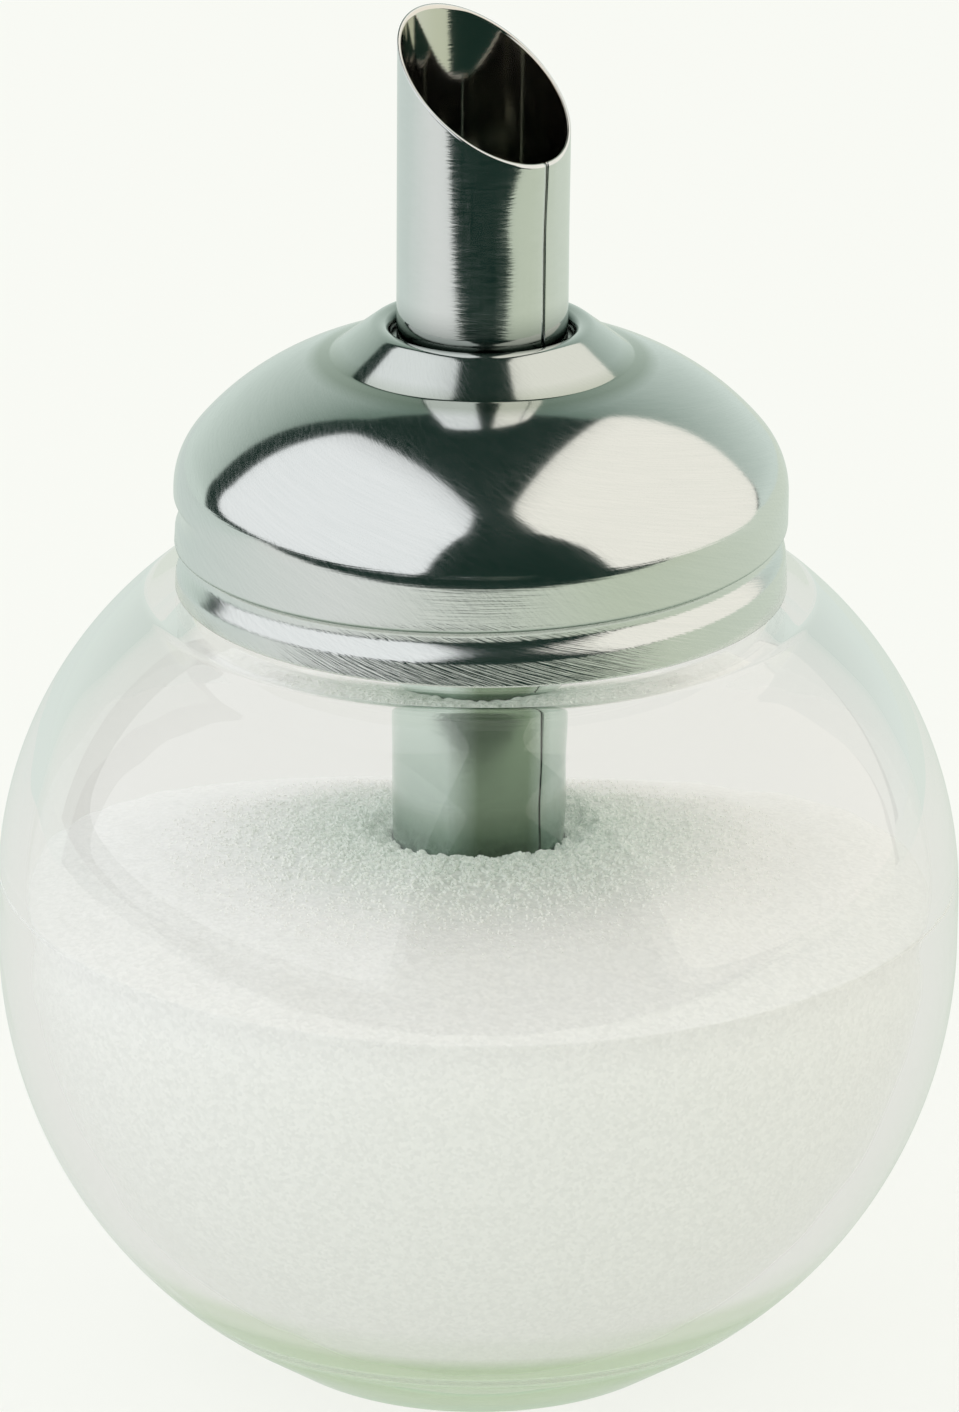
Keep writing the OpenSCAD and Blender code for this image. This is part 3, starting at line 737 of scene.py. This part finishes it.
# Clear pressed glass; the faint green grows with the thickness that the light has crossed, and the
# foot is greener still. Light on its way to the sugar goes straight through.
def clearGlass():
    s = Shader("jarGlass")
    f = glassFinish
    _, _, _, z, _ = s.place()
    body = s.node("BsdfPrincipled", {
        "Base Color": s.mix(s.spread(z, *f["footRange"]), f["foot"], f["clear"]),
        "Roughness": 0.0, "IOR": f["bending"], "Transmission Weight": 1.0})
    straight = s.node("BsdfTransparent", {"Color": f["shadow"]})
    path = s.node("LightPath").outputs
    soft = s.math("MAXIMUM", path["Is Shadow Ray"], path["Is Diffuse Ray"])
    both = s.node("MixShader", {0: soft, 1: body.outputs[0], 2: straight.outputs[0]})
    tint = s.node("VolumeAbsorption", {"Color": f["tint"], "Density": f["tintDensity"]})
    # light that has bounced about in the glass for long ends in a pale tone, not in black
    far = s.math("GREATER_THAN", path["Ray Depth"], f["deepest"])
    end = s.node("Emission", {"Color": f["deepTone"], "Strength": 1.0})
    whole = s.node("MixShader", {0: far, 1: both.outputs[0], 2: end.outputs[0]})
    return s.finish(whole.outputs[0], tint.outputs[0])


# Loose sugar: near white, with crystal-sized light and dark specks and a grainy relief, painted shade
# that makes it a little greener and darker in the dip round the tube, and a faint painted glow.
def sugarGrain(name, paintedGlow, relief):
    s = Shader(name)
    f = sugarFinish
    coord, _, _, z, radius = s.place()
    cells = s.node("TexVoronoi", {"Vector": coord, "Scale": f["crystalSize"]})
    speck = s.spread(s.node("SeparateColor", {"Color": cells.outputs["Color"]}).outputs[0], 0.0, 1.0)
    # painted shade: greener and darker in the dip round the tube
    dip = s.math("MULTIPLY", s.spread(radius, *f["dipRadius"], 1.0, 0.0), s.spread(z, *f["dipHeight"]))
    tint = s.mix(dip, s.mix(speck, f["dark"], f["light"]), s.mix(speck, f["dipShadeDark"], f["dipShadeLight"]))
    # the emission is a faint painted glow that lightens the sugar
    inputs = {"Base Color": tint, "Roughness": f["roughness"], "Specular IOR Level": f["shine"],
              "Emission Color": f["paintedGlow"], "Emission Strength": paintedGlow}
    if relief:
        soft = s.node("TexNoise", {"Vector": coord, "Scale": f["softSize"], "Detail": 2.0}).outputs["Fac"]
        height = s.math("ADD", cells.outputs["Distance"], s.math("MULTIPLY", soft, f["softShare"]))
        inputs["Normal"] = s.bump(height, relief, f["reliefDistance"])
    return s.finish(s.node("BsdfPrincipled", inputs).outputs[0])


# Gives a piece its one material.
def dress(thing, material):
    thing.data.materials.clear()
    thing.data.materials.append(material)


linerSteel = plain("linerSteel", plainFinish["liner"], plainFinish["linerRoughness"], 1.0)
pinSteel = plain("pinSteel", plainFinish["pin"], plainFinish["pinRoughness"], 1.0)
dress(jar, clearGlass())
dress(sugar, sugarGrain("sugarGrain", sugarFinish["heapGlow"], sugarFinish["relief"]))
dress(crystals, sugarGrain("sugarCrystal", sugarFinish["crystalGlow"], 0))
dress(cap, steelForCap())
dress(tube, steelForTube())
dress(nodes["seal_ring"], plain("softSeal", plainFinish["seal"], plainFinish["sealRoughness"], 0.0))
for name in ("liner_plate", "tube_ferrule", "valve_seat", "flap"):
    dress(nodes[name], linerSteel)
for name in ("lock_ring", "flap_pin"):
    dress(nodes[name], pinSteel)
print("finishes made")

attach(jar, "jar")
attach(sugar, "jar")
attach(crystals, "jar")
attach(cap, "cap")
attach(tube, "cap")
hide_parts("glass_jar")
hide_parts("sugar_fill")
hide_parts("cap_shell")
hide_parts("pour_tube")


# Studio. Places are in metres, and inMetal and throughGlass say what those see of the room.

studio = {
    "background": rgba(0.982, 0.991, 0.939), "floor": rgba(0.80, 0.82, 0.80), "shadowShare": 0.22,
    "leftLight": rgba(1.0, 1.02, 1.04), "rightLight": rgba(1.06, 1.03, 0.95), "lightLevel": 0.94,
    "leftAsLight": 1.2, "rightAsLight": 1.02, "lightTop": (0.80, 1.05), "lightTopShare": 0.8,
    "cardLow": rgba(0.66, 0.75, 0.70), "cardHigh": rgba(0.17, 0.24, 0.20), "cardRange": (0.1, 1.3),
    "darkRoom": rgba(0.010, 0.027, 0.021),
    "sideLight": rgba(1.15, 1.14, 1.12), "topLight": rgba(0.88, 0.90, 0.87), "topRange": (0.3, 0.95),
    "frontLight": rgba(0.50, 0.58, 0.46), "frontRange": (0.2, 0.9),
    "throughGlass": rgba(0.80, 0.79, 0.755), "roomInGlass": 0.62, "cardInGlass": 0.85, "metalInGlass": 0.65,
    "frontLeft": rgba(0.78, 0.80, 0.79), "frontRight": rgba(0.53, 0.605, 0.46),
    "backLeft": rgba(0.60, 0.69, 0.655), "backRight": rgba(0.64, 0.72, 0.61),
    "sideRange": (-0.2, 0.2), "nearRange": (-0.2, 0.15),
    "tableEdge": 0.286, "tableReach": 3.0, "eyeLevel": 0.095, "boxRounding": 0.16,
}

# Corners of the panels from the cap: right, towards the camera, up. Both boxes are about 1 m square.
edge, reach = studio["tableEdge"], studio["tableReach"]
panels = {
    "leftBox": [
        (-0.224, 0.619, -0.033), (-0.673, -0.272, 0.029), (-0.468, -0.501, 0.980), (-0.020, 0.389, 0.918)],
    "rightBox": [
        (0.548, 0.510, -0.052), (0.123, 0.338, 0.848), (0.360, -0.624, 0.821), (0.785, -0.453, -0.079)],
    "backCard": [
        (-1.42, -0.85, -0.093), (1.30, -0.85, -0.093), (0.46, -0.85, 1.32), (-0.50, -0.85, 1.32)],
    "darkFloor": [
        (-reach, edge, -0.094), (-reach, reach, -0.094), (reach, reach, -0.094), (reach, edge, -0.094)],
}


# A point given from the cap as right, towards the camera, up.
def studioPoint(right, near, up):
    return toRight * right + toCamera * near + np.array([0, 0, up + studio["eyeLevel"]])


# A flat panel between four corners; rounding > 0 rounds them off, by |u|^n + |v|^n = 1 with
# n = 2 / rounding. seen names the rays that meet it.
def makePanel(name, material, seen, rounding=0.0):
    verts = np.array([studioPoint(*c) for c in panels[name]])
    if rounding:
        a = np.linspace(0, 2 * np.pi, 96, endpoint=False)
        u = (1 + np.sign(np.cos(a)) * np.abs(np.cos(a)) ** rounding) / 2
        v = (1 + np.sign(np.sin(a)) * np.abs(np.sin(a)) ** rounding) / 2
        weight = np.stack([(1 - u) * (1 - v), u * (1 - v), u * v, (1 - u) * v], 1)
        verts = weight @ verts
    panel = meshFrom(name, verts, np.arange(len(verts))[None])
    dress(panel, material)
    for key in ("camera", "diffuse", "glossy", "transmission", "shadow", "volume_scatter"):
        setattr(panel, "visible_" + key, key in seen)


# A soft box's face: dimmer along its top, and a little brighter as a light than as a reflection.
def glow(name, colour, asLight):
    s = Shader(name)
    level = studio["lightLevel"]
    _, _, _, z, _ = s.place()
    strength = s.spread(z, *studio["lightTop"], level, level * studio["lightTopShare"])
    onMatt = s.node("LightPath").outputs["Is Diffuse Ray"]
    return s.shine(colour, s.math("MULTIPLY", strength, s.spread(onMatt, 0, 1, 1.0, asLight)))


# share once the light has been through glass, less where metal has reflected it too, else 0.
def throughShare(s, share):
    path = s.node("LightPath").outputs
    through = s.math("MINIMUM", path["Transmission Depth"], 1.0)
    metal = s.math("MULTIPLY", s.math("MINIMUM", path["Glossy Depth"], 1.0), studio["metalInGlass"])
    return s.math("MULTIPLY", s.math("MULTIPLY", through, s.math("SUBTRACT", 1.0, metal)), share)


# The dark room's colour, lifted towards the pale background once the light has been through glass.
def darkTone(s):
    return s.mix(throughShare(s, studio["roomInGlass"]), studio["darkRoom"], studio["throughGlass"])


# Grey-green card far behind the object, darker towards its top.
def cardGlow():
    s = Shader("backCard")
    _, _, _, z, _ = s.place()
    tone = s.mix(s.spread(z, *studio["cardRange"]), studio["cardLow"], studio["cardHigh"])
    return s.shine(s.mix(throughShare(s, studio["cardInGlass"]), tone, studio["throughGlass"]))


# The dark room beyond the table's front edge.
def darkFloor():
    s = Shader("darkFloor")
    return s.shine(darkTone(s))


# The floor: pale and diffuse for light and metal; the camera and the glass see mostly the plain
# background colour, and what is left of the diffuse part keeps the shadow.
def floorMaterial():
    s = Shader("floor")
    path = s.node("LightPath").outputs
    seen = s.math("MAXIMUM", path["Is Camera Ray"], path["Is Transmission Ray"])
    seen = s.math("MAXIMUM", seen, path["Is Glossy Ray"])
    lit = s.node("BsdfDiffuse", {"Color": studio["floor"]})
    coord = s.place()[0]
    side = s.spread(s.along(coord, toRight), *studio["sideRange"])
    near = s.spread(s.along(coord, toCamera), *studio["nearRange"])
    inMetal = s.mix(near, s.mix(side, studio["backLeft"], studio["backRight"]),
                    s.mix(side, studio["frontLeft"], studio["frontRight"]))
    tone = s.mix(path["Is Transmission Ray"], inMetal, studio["throughGlass"])
    tone = s.mix(path["Is Camera Ray"], tone, studio["background"])
    plainTone = s.node("Emission", {"Color": tone, "Strength": 1.0})
    fac = s.math("MULTIPLY", seen, 1.0 - studio["shadowShare"])
    return s.finish(s.node("MixShader", {0: fac, 1: lit.outputs[0], 2: plainTone.outputs[0]}).outputs[0])


# The world: background colour for the camera and straight through glass, a dark room for the
# metal, and for everything else a plain level, brighter at the sides than above and in front.
def makeWorld():
    world = bpy.data.worlds.new("studio")
    bpy.context.scene.world = world
    s = Shader("studio", world)
    path = s.node("LightPath").outputs
    way = s.node("TexCoord").outputs["Generated"]
    front = s.spread(s.along(way, toCamera), *studio["frontRange"])
    up = s.spread(s.node("SeparateXYZ", {"Vector": way}).outputs[2], *studio["topRange"])
    level = s.mix(up, s.mix(front, studio["sideLight"], studio["frontLight"]), studio["topLight"])
    metal = s.math("MAXIMUM", path["Is Glossy Ray"], path["Is Transmission Ray"])
    tone = s.mix(metal, level, darkTone(s))
    straight = s.math("COMPARE", path["Ray Depth"], path["Transmission Depth"], 0.5)
    straight = s.math("MULTIPLY", straight, path["Is Transmission Ray"])
    tone = s.mix(straight, tone, studio["throughGlass"])
    tone = s.mix(path["Is Camera Ray"], tone, studio["background"])
    s.finish(s.node("Background", {"Color": tone, "Strength": 1.0}).outputs[0])


# The camera stands at the photograph's angle and is rolled by under half a degree.
def makeCamera():
    lens = bpy.data.cameras.new("camera")
    lens.sensor_fit = "HORIZONTAL"
    lens.sensor_width = 36
    lens.lens = shot["lens"]
    lens.clip_start = 0.05
    lens.clip_end = 20
    camera = bpy.data.objects.new("camera", lens)
    bpy.context.scene.collection.objects.link(camera)
    back = Vector(toCamera) * cosOf(shot["elevation"]) + Vector((0, 0, sinOf(shot["elevation"])))
    facing = back.to_track_quat("Z", "Y").to_matrix().to_4x4()
    roll = Matrix.Rotation(math.radians(shot["roll"]), 4, "Z")
    stand = Vector((0, 0, shot["aim"])) + back * shot["distance"]
    camera.matrix_world = Matrix.Translation(stand) @ facing @ roll
    bpy.context.scene.camera = camera


for side in ("left", "right"):
    light = glow(side + "Box", studio[side + "Light"], studio[side + "AsLight"])
    makePanel(side + "Box", light, ("diffuse", "glossy", "transmission"), studio["boxRounding"])
makePanel("backCard", cardGlow(), ("glossy", "transmission"))
makePanel("darkFloor", darkFloor(), ("glossy", "transmission"))

floorCorners = reach * np.array([[-1, -1, 0], [1, -1, 0], [1, 1, 0], [-1, 1, 0]])
floor = meshFrom("floor", floorCorners, np.array([[0, 1, 2, 3]]))
dress(floor, floorMaterial())

makeWorld()
bpy.context.scene.view_settings.view_transform = "Standard"
makeCamera()
print("studio made")
